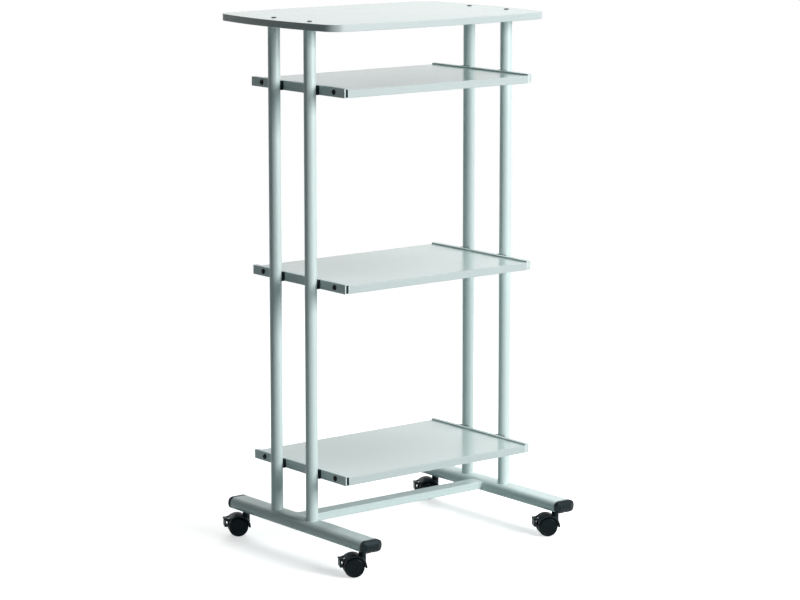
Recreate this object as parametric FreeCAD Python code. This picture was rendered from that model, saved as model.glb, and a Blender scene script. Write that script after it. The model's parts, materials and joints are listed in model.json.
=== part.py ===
import FreeCAD, Part

import math
import os

from FreeCAD import Vector

# Mobile printer stand: three shelves between four round posts, a bowed top board,
# two flat-oval feet joined by a crossbar, and four twin-wheel casters with brakes.
# Millimetres, +Z up. The origin is on the floor, under the middle of the stand's
# overall depth. +Y is the back, +X is the right.

# ---- Overall sizes ---------------------------------------------------------------
stand_height = 1321.0       # floor to the top face of the top board
rack_width = 585.0          # across the outer faces of the shelf rails
shelf_depth = 380.0
shelf_pitch = 472.0         # from one shelf to the next
first_shelf_rise = 129.0    # top of the feet to the top of the lowest rails

# ---- Fits ------------------------------------------------------------------------
fit_gap = 0.05              # radial play of pins, screws and plugs in their holes
face_gap = 0.3              # between faces that move past each other

# ---- Top board -------------------------------------------------------------------
board_length = 712.0        # at the middle of its depth
board_depth = 510.0         # at the middle of its length
board_thickness = 17.0
board_end_bow = 25.0        # how far the ends bow out past the corners
board_side_bow = 19.0       # how far the front and back bow out past the corners
board_corner_radius = 42.0
board_shift_y = 37.0        # the board sits this far back from the posts' centre
board_band = 2.0            # edge band thickness
board_edge_radius = 1.0     # rounding of the edge band

# ---- Posts -----------------------------------------------------------------------
post_diameter = 30.0
post_wall = 1.5
post_spacing_y = 146.0
plug_length = 26.0          # threaded plug in each end of a post

# ---- Shelves and rails -----------------------------------------------------------
shelf_thickness = 19.0
shelf_band = 2.0
shelf_edge_radius = 1.0
rail_width = 12.0
rail_height = 23.0
rail_wall = 1.5
rail_outer_wall = 3.0       # the wall the screws and bolts clamp
rail_edge_radius = 1.0
rail_plug_depth = 14.0
rail_plug_recess = 0.4
saddle_web = 0.7            # saddle thickness where the post is nearest the rail
saddle_reach = 6.0          # how far the saddle's wings reach along the post
saddle_overhang = 0.8       # saddle wider than the post, each side
saddle_gap = 0.1            # saddle's hollow to the post

# ---- Shelf fasteners -------------------------------------------------------------
rail_screw_spacing_y = 295.0
rail_screw_diameter = 5.0
rail_screw_head = 13.5
rail_screw_head_rise = 3.0
rail_screw_grip = 28.0      # thread length in the shelf
rail_screw_socket = 4.0     # across flats
post_bolt_diameter = 6.0
post_bolt_head = 10.0
post_bolt_head_rise = 3.4
post_bolt_socket = 4.0
post_nut_diameter = 9.0
post_nut_length = 13.0
post_nut_collar = 12.0
post_nut_collar_rise = 2.2

# ---- Top board fasteners ---------------------------------------------------------
top_screw_diameter = 6.0
top_screw_head = 13.0
top_screw_head_rise = 4.0
top_screw_socket = 5.0
top_screw_grip = 20.0       # thread length in the post's plug
top_cap_thickness = 1.6
top_cap_rise = 2.0          # its dome above the board

# ---- Feet ------------------------------------------------------------------------
foot_width = 60.0
foot_height = 30.0
foot_wall = 2.0
foot_tube_length = 540.0
foot_shift_y = -34.0        # the feet sit this far forward of the posts' centre
foot_bolt_diameter = 8.0
foot_bolt_head = 13.0
foot_bolt_head_rise = 6.0
foot_bolt_socket = 6.0
foot_bolt_grip = 20.0
foot_washer = 20.0
foot_washer_thickness = 1.6
access_hole = 16.0
access_cap = 20.0
access_cap_rise = 1.2
access_cap_depth = 5.0

# ---- End caps of the feet --------------------------------------------------------
cap_flange = 3.0
cap_overhang = 0.4          # flange larger than the tube, each side
cap_reach = 14.0            # tube end to the foremost point of the cap
cap_insert = 14.0           # length inside the tube
cap_insert_wall = 2.5
cap_barrel_radius = 26.0    # front face, curved from top to bottom
cap_facet_width = 14.0      # slanted face at each rounded side
cap_facet_drop = 5.0
cap_notch_width = 6.0
cap_notch_height = 2.5

# ---- Crossbar --------------------------------------------------------------------
bar_depth = 40.0
bar_height = 20.0
bar_wall = 1.5
bar_edge_radius = 2.0
bar_drop = 2.0              # its top below the feet's top
bar_shift_y = 1.0           # from the posts' centre

# ---- Casters ---------------------------------------------------------------------
caster_height = 65.0        # floor to the underside of the feet
caster_spacing_y = 484.0
caster_trail = 22.0         # swivel axis to wheel axle
caster_turn = 153.0         # degrees from +X to the way the wheels trail
wheel_diameter = 50.0
wheel_outer_side = 22.0     # caster's middle plane to a wheel's outer face
wheel_side_gap = 1.0        # wheel to web
wheel_shoulder_drop = 3.6   # tread to the shoulder's outer edge
wheel_tread_width = 7.0
wheel_rim_depth = 5.6       # tread to the dished face
wheel_face_dish = 1.0
wheel_skin = 3.5
wheel_hub_radius = 8.5
axle_diameter = 6.0
axle_end_gap = 0.2
web_thickness = 9.6
web_boss_radius = 7.0
fender_gap = 1.0            # tread to mudguard
fender_thickness = 5.5
fender_crown_rise = 0.9     # its crown above its side edges
fender_half_width = 21.0
fender_front_angle = -3.0   # degrees, measured up from straight ahead of the axle
fender_back_angle = 137.0
web_front_angle = 8.0
web_back_angle = 128.0
neck_diameter = 18.0
neck_chamfer = 1.0
stem_diameter = 11.0
stem_length = 22.0
stem_collar = 16.0
stem_collar_rise = 2.0
stem_pin_diameter = 6.0
stem_pin_length = 21.0
socket_diameter = 16.0
socket_flange = 22.0
socket_flange_rise = 1.5
socket_length = 25.0
lever_pivot_reach = 8.0     # tread to the lever's pivot
lever_pivot_angle = 145.0
lever_half_width = 12.2
lever_barrel_radius = 3.2
lever_pin_diameter = 3.0
shoe_gap = 1.0              # brake shoe to tread
ear_thickness = 3.0
ear_radius = 4.2
ear_root_span = 14.0        # degrees of mudguard that each ear stands on
ear_gap = 0.4

# ---- Places worked out from the sizes --------------------------------------------
foot_bottom_z = caster_height
foot_top_z = foot_bottom_z + foot_height
foot_mid_z = foot_bottom_z + foot_height / 2
board_bottom_z = stand_height - board_thickness
rail_tops = [foot_top_z + first_shelf_rise + row * shelf_pitch for row in range(3)]
rail_face_x = rack_width / 2
post_radius = post_diameter / 2
post_x = rail_face_x + saddle_web + post_radius
front_reach = foot_shift_y - foot_tube_length / 2 - cap_reach
back_reach = board_shift_y + board_depth / 2
posts_y = -(front_reach + back_reach) / 2
post_ys = [posts_y - post_spacing_y / 2, posts_y + post_spacing_y / 2]
board_y = posts_y + board_shift_y
foot_y = posts_y + foot_shift_y
caster_ys = [foot_y - caster_spacing_y / 2, foot_y + caster_spacing_y / 2]
wheel_radius = wheel_diameter / 2
wheel_shoulder_radius = wheel_radius - wheel_shoulder_drop
wheel_face_radius = wheel_radius - wheel_rim_depth
fender_inner_radius = wheel_radius + fender_gap
fender_outer_radius = fender_inner_radius + fender_thickness
fender_edge_radius = fender_outer_radius - fender_crown_rise
lever_pivot_radius = wheel_radius + lever_pivot_reach
neck_top_z = foot_bottom_z - socket_flange_rise - stem_collar_rise - face_gap

sides = {"left": -1, "right": 1}
ends = {"front": 0, "back": 1}
rows = ["lower", "middle", "upper"]

X_AXIS = Vector(1, 0, 0)
Y_AXIS = Vector(0, 1, 0)
Z_AXIS = Vector(0, 0, 1)


# ---- Helpers ---------------------------------------------------------------------
def save(name, *solids):
    """Writes one node; several solids make a group of separate pieces."""
    shape = solids[0] if len(solids) == 1 else Part.makeCompound(list(solids))
    shape.exportStep("parts/" + name + ".step")


def block(x0, x1, y0, y1, z0, z1):
    return Part.makeBox(x1 - x0, y1 - y0, z1 - z0, Vector(x0, y0, z0))


def rod(radius, length, start, axis):
    return Part.makeCylinder(radius, length, start, axis)


def drill(diameter, length, start, axis):
    """The cutter for a hole that takes a pin or screw of this diameter."""
    return rod(diameter / 2 + fit_gap, length, start, axis)


def hexagon(across_flats, length, start, axis):
    """A six-sided prism, used as the cutter for a socket."""
    corner = across_flats / math.sqrt(3)
    points = [
        Vector(corner * math.cos(k * math.pi / 3), corner * math.sin(k * math.pi / 3), 0)
        for k in range(7)
    ]
    prism = Part.Face(Part.makePolygon(points)).extrude(Z_AXIS * length)
    prism.Placement = FreeCAD.Placement(start, FreeCAD.Rotation(Z_AXIS, axis))
    return prism


def flat_oval(width, height, length, start):
    """A bar along +Y with flat top and bottom and half-round sides."""
    radius = height / 2
    half = width / 2 - radius
    x, y, z = start.x, start.y, start.z
    edges = [
        Part.LineSegment(Vector(x - half, y, z + radius), Vector(x + half, y, z + radius)),
        Part.Arc(
            Vector(x + half, y, z + radius),
            Vector(x + half + radius, y, z),
            Vector(x + half, y, z - radius),
        ),
        Part.LineSegment(Vector(x + half, y, z - radius), Vector(x - half, y, z - radius)),
        Part.Arc(
            Vector(x - half, y, z - radius),
            Vector(x - half - radius, y, z),
            Vector(x - half, y, z + radius),
        ),
    ]
    wire = Part.Wire([edge.toShape() for edge in edges])
    return Part.Face(wire).extrude(Y_AXIS * length)


def prism_xz(points, half_width):
    """A plate across Y between -half_width and +half_width, from (x, z) corners."""
    corners = [Vector(x, -half_width, z) for x, z in points]
    face = Part.Face(Part.makePolygon(corners + corners[:1]))
    return face.extrude(Y_AXIS * (2 * half_width))


def fuse(first, *others):
    return first.fuse(list(others)).removeSplitter()


def rounded(solid, radius, wanted):
    """Rounds the edges that the test picks."""
    return solid.makeFillet(radius, [edge for edge in solid.Edges if wanted(edge)])


def along_y(edge):
    """True for a straight edge that runs along Y."""
    return (
        isinstance(edge.Curve, Part.Line)
        and abs(edge.tangentAt(edge.FirstParameter).dot(Y_AXIS)) > 0.999
    )


# ---- Top board -------------------------------------------------------------------
def board_outline(inset=0.0):
    """The board's outline: four bowed sides joined by round corners, moved in by inset."""
    half_length = board_length / 2
    half_depth = board_depth / 2
    side_radius = bow_radius(half_length - board_end_bow, board_side_bow)
    end_radius = bow_radius(half_depth - board_side_bow, board_end_bow)
    side_centre = Vector(0, half_depth - side_radius, 0)
    end_centre = Vector(half_length - end_radius, 0, 0)
    corner = circles_meet(
        side_centre, side_radius - board_corner_radius, end_centre, end_radius - board_corner_radius
    )
    on_side = side_centre + unit(corner - side_centre) * (side_radius - inset)
    on_end = end_centre + unit(corner - end_centre) * (end_radius - inset)
    middle = corner + unit(on_side + on_end - corner * 2) * (board_corner_radius - inset)
    side_middle = Vector(0, half_depth - inset, 0)
    end_middle = Vector(half_length - inset, 0, 0)

    def at(point, sx, sy):
        return Vector(sx * point.x, board_y + sy * point.y, board_bottom_z)

    arcs = [
        Part.Arc(at(on_side, sx, sy), at(middle, sx, sy), at(on_end, sx, sy))
        for sx, sy in ((-1, -1), (1, -1), (1, 1), (-1, 1))
    ]
    arcs += [
        Part.Arc(at(on_side, -1, sy), at(side_middle, 1, sy), at(on_side, 1, sy))
        for sy in (-1, 1)
    ]
    arcs += [
        Part.Arc(at(on_end, sx, -1), at(end_middle, sx, 1), at(on_end, sx, 1))
        for sx in (-1, 1)
    ]
    return Part.Wire(Part.__sortEdges__([arc.toShape() for arc in arcs]))


def bow_radius(half_chord, rise):
    return (half_chord ** 2 + rise ** 2) / (2 * rise)


def unit(vector):
    return vector * (1 / vector.Length)


def circles_meet(centre_a, radius_a, centre_b, radius_b):
    """The point, up and to the right, where two circles cross."""
    between = centre_b - centre_a
    gap = between.Length
    along = (radius_a ** 2 - radius_b ** 2 + gap ** 2) / (2 * gap)
    across = math.sqrt(radius_a ** 2 - along ** 2)
    foot = centre_a + unit(between) * along
    normal = unit(Vector(-between.y, between.x, 0))
    return max((foot + normal * across, foot - normal * across), key=lambda p: p.x + p.y)


def plate_from(wire):
    """A plate of the board's thickness from its outline, with its volume positive."""
    face = Part.Face(wire)
    plate = face.extrude(Z_AXIS * board_thickness)
    return plate if plate.Volume > 0 else plate.reversed()


def top_board_and_band():
    core = plate_from(board_outline(board_band))
    rim = rounded(
        plate_from(board_outline()),
        board_edge_radius,
        lambda edge: edge.BoundBox.ZLength < 0.01,
    )
    band = rim.cut(core)
    for x, y in post_places():
        core = core.cut(top_hole(x, y))
    return core, band


def post_places():
    return [(side * post_x, y) for side in sides.values() for y in post_ys]


def cap_seat_z():
    return stand_height - top_cap_thickness


def top_hole(x, y):
    """Clearance hole with a counterbore for the screw's head and its cap."""
    counterbore_z = cap_seat_z() - top_screw_head_rise
    shank = drill(top_screw_diameter, board_thickness, Vector(x, y, board_bottom_z), Z_AXIS)
    wide = drill(top_screw_head, board_thickness, Vector(x, y, counterbore_z), Z_AXIS)
    return shank.fuse(wide)


def top_screw(x, y):
    head_z = cap_seat_z() - top_screw_head_rise
    tip_z = board_bottom_z - top_screw_grip
    head = rod(top_screw_head / 2, top_screw_head_rise, Vector(x, y, head_z), Z_AXIS)
    shank = rod(top_screw_diameter / 2, head_z - tip_z, Vector(x, y, tip_z), Z_AXIS)
    socket_depth = top_screw_head_rise * 0.6
    socket = hexagon(
        top_screw_socket, socket_depth, Vector(x, y, cap_seat_z() - socket_depth), Z_AXIS
    )
    return fuse(head, shank).cut(socket)


def round_head(radius, rise):
    """The low dome of a screw head or cap, standing on z = 0."""
    rim = rise * 0.35
    profile = [
        Part.LineSegment(Vector(0, 0, 0), Vector(radius, 0, 0)),
        Part.LineSegment(Vector(radius, 0, 0), Vector(radius, 0, rim)),
        Part.Arc(
            Vector(radius, 0, rim),
            Vector(radius * 0.78, 0, rise * 0.83),
            Vector(radius * 0.42, 0, rise),
        ),
        Part.LineSegment(Vector(radius * 0.42, 0, rise), Vector(0, 0, rise)),
        Part.LineSegment(Vector(0, 0, rise), Vector(0, 0, 0)),
    ]
    face = Part.Face(Part.Wire([edge.toShape() for edge in profile]))
    return face.revolve(Vector(0, 0, 0), Z_AXIS, 360)


def top_cap(x, y):
    """A cap over the screw, with a low dome above the board."""
    radius = top_screw_head / 2
    disc = rod(radius, top_cap_thickness, Vector(x, y, cap_seat_z()), Z_AXIS)
    dome = round_head(radius, top_cap_rise)
    dome.translate(Vector(x, y, stand_height))
    return fuse(disc, dome)


# ---- Posts -----------------------------------------------------------------------
def post(x, y):
    """A tube with one hole towards the shelves at each rail."""
    side = 1 if x > 0 else -1
    length = board_bottom_z - foot_top_z
    outer = rod(post_radius, length, Vector(x, y, foot_top_z), Z_AXIS)
    inner = rod(post_radius - post_wall, length, Vector(x, y, foot_top_z), Z_AXIS)
    tube = outer.cut(inner)
    for top in rail_tops:
        start = Vector(x, y, top - rail_height / 2)
        tube = tube.cut(drill(post_nut_diameter, 2 * post_radius, start, X_AXIS * -side))
    return tube


def post_plug(x, y, end_z, inward, thread):
    """A round threaded plug, flush with the post's end."""
    radius = post_radius - post_wall - fit_gap
    body = rod(radius, plug_length, Vector(x, y, end_z), Z_AXIS * inward)
    return body.cut(drill(thread, plug_length, Vector(x, y, end_z), Z_AXIS * inward))


def post_nut(x, y, z):
    """A blind-side rivet nut: its face follows the post, its collar grips inside."""
    side = 1 if x > 0 else -1
    inward = X_AXIS * side
    face = Vector(x - side * post_radius, y, z)
    bore_radius = post_radius - post_wall
    collar_x = x - side * math.sqrt(bore_radius ** 2 - (post_nut_collar / 2) ** 2)
    body = rod(post_nut_diameter / 2, post_nut_length, face, inward)
    collar = rod(
        post_nut_collar / 2, post_nut_collar_rise, Vector(collar_x, y, z), inward
    )
    outline = rod(post_radius, rail_height, Vector(x, y, z - rail_height / 2), Z_AXIS)
    nut = fuse(body, collar).common(outline)
    return nut.cut(drill(post_bolt_diameter, post_nut_length, face, inward))


# ---- Shelves ---------------------------------------------------------------------
def shelf_x():
    return rail_face_x - rail_width


def shelf_bottom(row):
    return rail_tops[row] - rail_height


def rail_screw_ys():
    return [posts_y - rail_screw_spacing_y / 2, posts_y + rail_screw_spacing_y / 2]


def shelf(row):
    z = shelf_bottom(row)
    half_depth = shelf_depth / 2 - shelf_band
    board = block(
        -shelf_x(), shelf_x(), posts_y - half_depth, posts_y + half_depth, z, z + shelf_thickness
    )
    for side in sides.values():
        for y in rail_screw_ys():
            start = Vector(side * shelf_x(), y, rail_tops[row] - rail_height / 2)
            hole = drill(rail_screw_diameter, rail_screw_grip, start, X_AXIS * -side)
            board = board.cut(hole)
    return board


def shelf_edge(row, toward):
    """Edge band along the front (-1) or back (+1) of a shelf."""
    z = shelf_bottom(row)
    outer = posts_y + toward * shelf_depth / 2
    inner = outer - toward * shelf_band
    strip = block(
        -shelf_x(), shelf_x(), min(outer, inner), max(outer, inner), z, z + shelf_thickness
    )
    return rounded(
        strip,
        shelf_edge_radius,
        lambda edge: edge.BoundBox.XLength > shelf_x()
        and abs(edge.BoundBox.Center.y - outer) < 0.01,
    )


def rail_hollow_xs(side):
    inner = side * (shelf_x() + rail_wall)
    outer = side * (rail_face_x - rail_outer_wall)
    return min(inner, outer), max(inner, outer)


def rail(row, side):
    """A box-section rail along one end of a shelf, with its screw and bolt holes."""
    top = rail_tops[row]
    inner_x = shelf_x()
    y0 = posts_y - shelf_depth / 2
    y1 = posts_y + shelf_depth / 2
    x0, x1 = sorted((side * inner_x, side * rail_face_x))
    bar = block(x0, x1, y0, y1, top - rail_height, top)
    bar = rounded(bar, rail_edge_radius, along_y)
    x0, x1 = rail_hollow_xs(side)
    hollow = block(x0, x1, y0, y1, top - rail_height + rail_wall, top - rail_wall)
    bar = bar.cut(hollow)
    mid_z = top - rail_height / 2
    outside = side * rail_face_x
    for y in rail_screw_ys():
        bar = bar.cut(
            drill(rail_screw_diameter, rail_width, Vector(outside, y, mid_z), X_AXIS * -side)
        )
    for y in post_ys:
        start = Vector(outside, y, mid_z)
        bar = bar.cut(drill(post_bolt_diameter, rail_width / 2, start, X_AXIS * -side))
        reach = Vector(outside - side * rail_width / 2, y, mid_z)
        bar = bar.cut(drill(post_bolt_head, rail_width, reach, X_AXIS * -side))
    return bar


def rail_plug(row, side, toward):
    """A plastic plug just inside one end of a rail."""
    top = rail_tops[row]
    x0, x1 = rail_hollow_xs(side)
    inset = rail_wall + fit_gap
    y_out = posts_y + toward * (shelf_depth / 2 - rail_plug_recess)
    y_in = y_out - toward * rail_plug_depth
    plug = block(
        x0 + fit_gap, x1 - fit_gap, min(y_out, y_in), max(y_out, y_in),
        top - rail_height + inset, top - inset,
    )
    return rounded(
        plug,
        0.6,
        lambda edge: abs(edge.BoundBox.Center.y - y_out) < 0.01
        and edge.BoundBox.YLength < 0.01,
    )


def rail_screw(row, side, y):
    """A round-headed screw through the rail into the end of the shelf."""
    mid_z = rail_tops[row] - rail_height / 2
    seat = side * rail_face_x
    rise = rail_screw_head_rise
    head = round_head(rail_screw_head / 2, rise)
    depth = rise * 0.7
    head = head.cut(hexagon(rail_screw_socket, depth, Vector(0, 0, rise - depth), Z_AXIS))
    head.Placement = FreeCAD.Placement(
        Vector(seat, y, mid_z), FreeCAD.Rotation(Z_AXIS, X_AXIS * side)
    )
    length = rail_width + rail_screw_grip - 1.0
    shank = rod(rail_screw_diameter / 2, length, Vector(seat, y, mid_z), X_AXIS * -side)
    return fuse(head, shank)


def saddle(row, x, y):
    """Spacer between a rail and a post, hollowed to the post."""
    side = 1 if x > 0 else -1
    top = rail_tops[row]
    half = post_radius + saddle_overhang
    x0, x1 = sorted((side * rail_face_x, side * (rail_face_x + saddle_reach)))
    body = block(x0, x1, y - half, y + half, top - rail_height, top)
    body = rounded(
        body,
        0.8,
        lambda edge: edge.BoundBox.ZLength > rail_height / 2
        and abs(edge.BoundBox.Center.x - side * (rail_face_x + saddle_reach)) < 0.01,
    )
    hollow = rod(post_radius + saddle_gap, rail_height, Vector(x, y, top - rail_height), Z_AXIS)
    start = Vector(side * rail_face_x, y, top - rail_height / 2)
    hole = drill(post_bolt_diameter, saddle_reach, start, X_AXIS * side)
    return body.cut(hollow).cut(hole)


def post_bolt(row, x, y):
    """A bolt from inside the rail, through the saddle, into the post's nut."""
    side = 1 if x > 0 else -1
    mid_z = rail_tops[row] - rail_height / 2
    seat_x = side * (rail_face_x - rail_outer_wall)
    seat = Vector(seat_x, y, mid_z)
    head = rod(post_bolt_head / 2, post_bolt_head_rise, seat, X_AXIS * -side)
    length = rail_outer_wall + saddle_web + post_nut_length - 1.0
    shank = rod(post_bolt_diameter / 2, length, seat, X_AXIS * side)
    depth = post_bolt_head_rise * 0.6
    back = Vector(seat_x - side * post_bolt_head_rise, y, mid_z)
    return fuse(head, shank).cut(hexagon(post_bolt_socket, depth, back, X_AXIS * side))


# ---- Feet and crossbar -----------------------------------------------------------
def foot_ends():
    return foot_y - foot_tube_length / 2, foot_y + foot_tube_length / 2


def foot_envelope(side):
    start = Vector(side * post_x, foot_ends()[0], foot_mid_z)
    return flat_oval(foot_width, foot_height, foot_tube_length, start)


def foot(side):
    x = side * post_x
    start = Vector(x, foot_ends()[0], foot_mid_z)
    hollow = flat_oval(
        foot_width - 2 * foot_wall, foot_height - 2 * foot_wall, foot_tube_length, start
    )
    tube = foot_envelope(side).cut(hollow)
    for y in post_ys:
        tube = tube.cut(drill(foot_bolt_diameter, foot_height, Vector(x, y, foot_mid_z), Z_AXIS))
        below = Vector(x, y, foot_bottom_z - 1)
        tube = tube.cut(drill(access_hole, foot_height / 2, below, Z_AXIS))
    for y in caster_ys:
        below = Vector(x, y, foot_bottom_z - 1)
        tube = tube.cut(drill(socket_diameter, foot_height / 2, below, Z_AXIS))
    return tube


def foot_bolt(x, y):
    """Bolt and washer under the foot's top wall, up into the post's plug."""
    seat_z = foot_top_z - foot_wall
    head_z = seat_z - foot_washer_thickness - foot_bolt_head_rise
    washer = rod(
        foot_washer / 2, foot_washer_thickness, Vector(x, y, seat_z - foot_washer_thickness), Z_AXIS
    )
    head = rod(foot_bolt_head / 2, foot_bolt_head_rise, Vector(x, y, head_z), Z_AXIS)
    shank = rod(
        foot_bolt_diameter / 2, foot_top_z + foot_bolt_grip - head_z, Vector(x, y, head_z), Z_AXIS
    )
    depth = foot_bolt_head_rise * 0.6
    return fuse(washer, head, shank).cut(
        hexagon(foot_bolt_socket, depth, Vector(x, y, head_z), Z_AXIS)
    )


def access_plug(x, y):
    """Push-in cap that closes the bolt's access hole under the foot."""
    flange_z = foot_bottom_z - access_cap_rise
    flange = rod(access_cap / 2, access_cap_rise, Vector(x, y, flange_z), Z_AXIS)
    flange = flange.makeChamfer(0.6, [edge for edge in flange.Edges if on_level(edge, flange_z)])
    stub = rod(access_hole / 2, access_cap_depth, Vector(x, y, foot_bottom_z), Z_AXIS)
    hollow = rod(
        access_hole / 2 - 1.5, access_cap_depth, Vector(x, y, foot_bottom_z), Z_AXIS
    )
    return fuse(flange, stub).cut(hollow)


def on_level(edge, z):
    return abs(edge.BoundBox.ZMin - z) < 0.01 and abs(edge.BoundBox.ZMax - z) < 0.01


def foot_cap(side, end):
    """End cap: insert in the tube, flange, and a curved front with slanted sides."""
    x = side * post_x
    toward = -1 if end == 0 else 1
    half_width = foot_width / 2 + cap_overhang
    size = (foot_width + 2 * cap_overhang, foot_height + 2 * cap_overhang)
    full = flat_oval(size[0], size[1], cap_reach, Vector(0, 0, 0))
    barrel = rod(cap_barrel_radius, 2 * foot_width,
                 Vector(-foot_width, cap_reach - cap_barrel_radius, 0), X_AXIS)
    plate = block(-foot_width, foot_width, 0, cap_flange, -foot_height, foot_height)
    front = full.common(fuse(barrel, plate))
    for hand in (-1, 1):
        edge_x = hand * (half_width - cap_facet_width)
        corner = [
            Vector(edge_x, cap_reach, -foot_height),
            Vector(hand * half_width, cap_reach - cap_facet_drop, -foot_height),
            Vector(hand * foot_width, cap_reach - cap_facet_drop, -foot_height),
            Vector(hand * foot_width, cap_reach + 1, -foot_height),
            Vector(edge_x, cap_reach + 1, -foot_height),
        ]
        wedge = Part.Face(Part.makePolygon(corner + corner[:1])).extrude(
            Z_AXIS * (2 * foot_height)
        )
        front = front.cut(wedge)
    notch = block(
        -cap_notch_width / 2, cap_notch_width / 2, cap_flange, cap_reach + 1,
        -size[1] / 2, -size[1] / 2 + cap_notch_height,
    )
    front = front.cut(notch)
    inset = 2 * (foot_wall + fit_gap)
    insert = flat_oval(
        foot_width - inset, foot_height - inset, cap_insert, Vector(0, -cap_insert, 0)
    )
    inset += 2 * cap_insert_wall
    hollow = flat_oval(
        foot_width - inset, foot_height - inset, cap_insert, Vector(0, -cap_insert, 0)
    )
    cap = fuse(front, insert.cut(hollow))
    turn = FreeCAD.Rotation(Z_AXIS, 180 if toward < 0 else 0)
    cap.Placement = FreeCAD.Placement(Vector(x, foot_ends()[end], foot_mid_z), turn)
    return cap


def crossbar():
    """A box-section tube across the stand, its ends shaped to the feet."""
    mid_z = foot_top_z - bar_drop - bar_height / 2
    half = bar_depth / 2
    rise = bar_height / 2
    outer = block(-half, half, -post_x, post_x, -rise, rise)
    inner = block(
        bar_wall - half, half - bar_wall, -post_x, post_x, bar_wall - rise, rise - bar_wall
    )
    bar = rounded(outer, bar_edge_radius, along_y).cut(inner)
    bar.Placement = FreeCAD.Placement(
        Vector(0, posts_y + bar_shift_y, mid_z), FreeCAD.Rotation(Z_AXIS, 90)
    )
    for side in sides.values():
        bar = bar.cut(foot_envelope(side))
    return max(bar.Solids, key=lambda solid: solid.Volume)


# ---- Casters ---------------------------------------------------------------------
# Each caster is drawn round its swivel axis at the origin, on the floor, with its
# wheels trailing along +X and its axle along Y, and is then turned and moved.
def polar(radius, angle):
    """(x, z) of a point round the axle; 0 is straight ahead, 90 is up."""
    turn = math.radians(angle)
    return caster_trail - radius * math.cos(turn), wheel_radius + radius * math.sin(turn)


def swept(face, start_angle, end_angle):
    """Sweeps a face that lies ahead of the axle from one angle to another."""
    axle = Vector(caster_trail, 0, wheel_radius)
    face.rotate(axle, Y_AXIS, start_angle)
    return face.revolve(axle, Y_AXIS, end_angle - start_angle)


def lever_pivot():
    return polar(lever_pivot_radius, lever_pivot_angle)


def caster_hood():
    """Web between the wheels, mudguard over them, swivel neck and brake ears."""
    z = wheel_radius
    inner_x = caster_trail - fender_inner_radius
    edge_x = caster_trail - fender_edge_radius
    crown_x = caster_trail - fender_outer_radius
    half = fender_half_width
    edges = [
        Part.LineSegment(Vector(inner_x, -half, z), Vector(inner_x, half, z)),
        Part.LineSegment(Vector(inner_x, half, z), Vector(edge_x, half, z)),
        Part.Arc(Vector(edge_x, half, z), Vector(crown_x, 0, z), Vector(edge_x, -half, z)),
        Part.LineSegment(Vector(edge_x, -half, z), Vector(inner_x, -half, z)),
    ]
    profile = Part.Face(Part.Wire([edge.toShape() for edge in edges]))
    fender = swept(profile, fender_front_angle, fender_back_angle)
    web_half = web_thickness / 2
    web_face = Part.makePlane(
        fender_inner_radius + 0.5, web_thickness,
        Vector(inner_x - 0.5, -web_half, z), Z_AXIS,
    )
    web = swept(web_face, web_front_angle, web_back_angle)
    axle_boss = rod(web_boss_radius, web_thickness, Vector(caster_trail, -web_half, z), Y_AXIS)
    neck_base = wheel_radius + web_boss_radius
    neck = rod(neck_diameter / 2, neck_top_z - neck_base, Vector(0, 0, neck_base), Z_AXIS)
    neck = neck.makeChamfer(
        neck_chamfer, [edge for edge in neck.Edges if on_level(edge, neck_top_z)]
    )
    clear = rod(
        fender_inner_radius, 2 * fender_half_width,
        Vector(caster_trail, -fender_half_width, z), Y_AXIS,
    )
    hood = fuse(fender, neck.cut(clear), web, axle_boss, *[ear(hand) for hand in (-1, 1)])
    pin_depth = stem_pin_length + 1.0
    hood = hood.cut(drill(stem_pin_diameter, pin_depth, Vector(0, 0, neck_top_z - pin_depth), Z_AXIS))
    hood = hood.cut(
        drill(axle_diameter, web_thickness, Vector(caster_trail, -web_half, z), Y_AXIS)
    )
    pivot_x, pivot_z = lever_pivot()
    reach = lever_half_width + ear_gap + ear_thickness
    return hood.cut(
        drill(lever_pin_diameter, 2 * reach, Vector(pivot_x, -reach, pivot_z), Y_AXIS)
    )


def ear(hand):
    """One of the two ears that carry the brake lever's pivot."""
    pivot_x, pivot_z = lever_pivot()
    inner = lever_half_width + ear_gap
    points = [
        polar(fender_edge_radius - 0.5, fender_back_angle - ear_root_span),
        polar(lever_pivot_radius + ear_radius, lever_pivot_angle),
        polar(lever_pivot_radius - ear_radius, lever_pivot_angle),
        polar(fender_inner_radius + 0.5, fender_back_angle - 1.0),
    ]
    plate = prism_xz(points, ear_thickness / 2)
    round_end = rod(ear_radius, ear_thickness, Vector(pivot_x, -ear_thickness / 2, pivot_z), Y_AXIS)
    shape = fuse(plate, round_end)
    shape.translate(Vector(0, hand * (inner + ear_thickness / 2), 0))
    return shape


def brake_lever():
    """Foot pad, strut and brake shoe in one piece, with its two pivot pins."""
    pivot_x, pivot_z = lever_pivot()
    shoe_x = caster_trail + wheel_radius + shoe_gap - pivot_x
    points = [
        (0.0, 3.2), (9.4, 3.5), (10.8, 2.7), (10.5, 1.3), (8.9, 0.3),
        (8.7, -17.2), (7.4, -18.5), (3.0, -18.5), (shoe_x, -17.6), (shoe_x, -14.8),
        (2.8, -14.2), (3.7, -13.4), (4.4, -2.6), (0.0, -3.2),
    ]
    body = prism_xz([(pivot_x + x, pivot_z + z) for x, z in points], lever_half_width)
    barrel = rod(
        lever_barrel_radius, 2 * lever_half_width, Vector(pivot_x, -lever_half_width, pivot_z), Y_AXIS
    )
    reach = lever_half_width + ear_gap + ear_thickness - 0.2
    pin = rod(lever_pin_diameter / 2, 2 * reach, Vector(pivot_x, -reach, pivot_z), Y_AXIS)
    return fuse(body, barrel, pin)


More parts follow.
